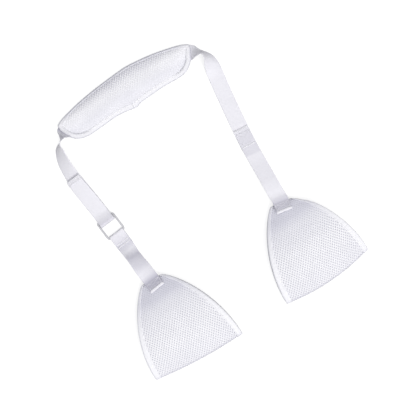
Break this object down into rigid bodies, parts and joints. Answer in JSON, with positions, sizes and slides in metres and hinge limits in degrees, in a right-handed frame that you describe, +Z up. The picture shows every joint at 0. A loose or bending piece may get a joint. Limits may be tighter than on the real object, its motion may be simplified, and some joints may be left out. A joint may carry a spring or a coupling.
{
  "type": "arm sling",
  "caption": "Flat-lying arm sling: padded mesh shoulder piece on webbing legs with an adjuster ring, carrying two folded mesh cradles for forearm and wrist.",
  "frame": {"origin": "under the middle of the object's box, on the surface it lies on", "axes": "+X along the shoulder pad, +Y from the cradles to the pad, +Z up from the surface"},
  "size_m": [0.3806, 0.4432, 0.025],
  "materials": {
    "air_mesh": "knitted air mesh, matte white",
    "backing_cloth": "plain woven cloth, matte white",
    "foam": "open cell foam",
    "binding_tape": "smooth folded tape, soft sheen",
    "webbing": "ribbed woven band, soft sheen",
    "fastener": "hook and loop pile",
    "ring": "moulded white plastic",
    "thread": "close stitched thread"
  },
  "bodies": {
    "shoulder": {"pad_face_panel": "air_mesh", "pad_foam_core": "foam", "pad_back_panel": "backing_cloth", "pad_binding": "binding_tape", "pad_webbing": "webbing"},
    "left_leg": {"left_strap": "webbing", "loop_patch": "fastener"},
    "tail": {"strap_tail": "webbing", "hook_patch": "fastener", "tail_hem": "webbing"},
    "ring": {"adjuster_ring": "ring"},
    "left_tab": {"left_tab": "webbing", "left_tab_bartack": "thread"},
    "left_cradle": {"left_cradle_panel": "air_mesh", "left_cradle_binding_left": "binding_tape", "left_cradle_binding_right": "binding_tape", "left_tab_end": "webbing", "left_cradle_bartack": "thread"},
    "right_leg": {"right_strap": "webbing", "right_tab": "webbing", "upper_splice_bartack": "thread", "lower_splice_bartack": "thread"},
    "right_cradle": {"right_cradle_panel": "air_mesh", "right_cradle_binding_left": "binding_tape", "right_cradle_binding_right": "binding_tape", "right_tab_end": "webbing", "right_cradle_bartack": "thread"}
  },
  "joints": [
    {"name": "left_leg_swing", "type": "hinge", "parent": "shoulder", "child": "left_leg", "pos_m": [-0.1247, 0.17592, 0.01251], "axis": [0, 0, 1], "range_deg": [-25, 5]},
    {"name": "right_leg_swing", "type": "hinge", "parent": "shoulder", "child": "right_leg", "pos_m": [0.1358, 0.17592, 0.01251], "axis": [0, 0, 1], "range_deg": [-5, 25]},
    {"name": "tail_peel", "type": "hinge", "parent": "left_leg", "child": "tail", "pos_m": [-0.12681, 0.04887, 0.00681], "axis": [0.9954, 0.0958, 0], "range_deg": [0, 80]},
    {"name": "ring_pivot", "type": "hinge", "parent": "left_leg", "child": "ring", "pos_m": [-0.1261, 0.0415, 0.00341], "axis": [-0.9954, -0.0958, 0], "range_deg": [0, 60]},
    {"name": "left_tab_pivot", "type": "hinge", "parent": "ring", "child": "left_tab", "pos_m": [-0.12329, 0.01234, 0.00341], "axis": [-0.9954, -0.0958, 0], "range_deg": [-60, 30]},
    {"name": "left_cradle_fold", "type": "hinge", "parent": "left_tab", "child": "left_cradle", "pos_m": [-0.115, -0.07508, 0.01104], "axis": [-0.9925, -0.1219, 0], "range_deg": [0, 90]},
    {"name": "right_cradle_fold", "type": "hinge", "parent": "right_leg", "child": "right_cradle", "pos_m": [0.115, -0.07808, 0.01104], "axis": [-0.9848, 0.1736, 0], "range_deg": [0, 90]}
  ]
}
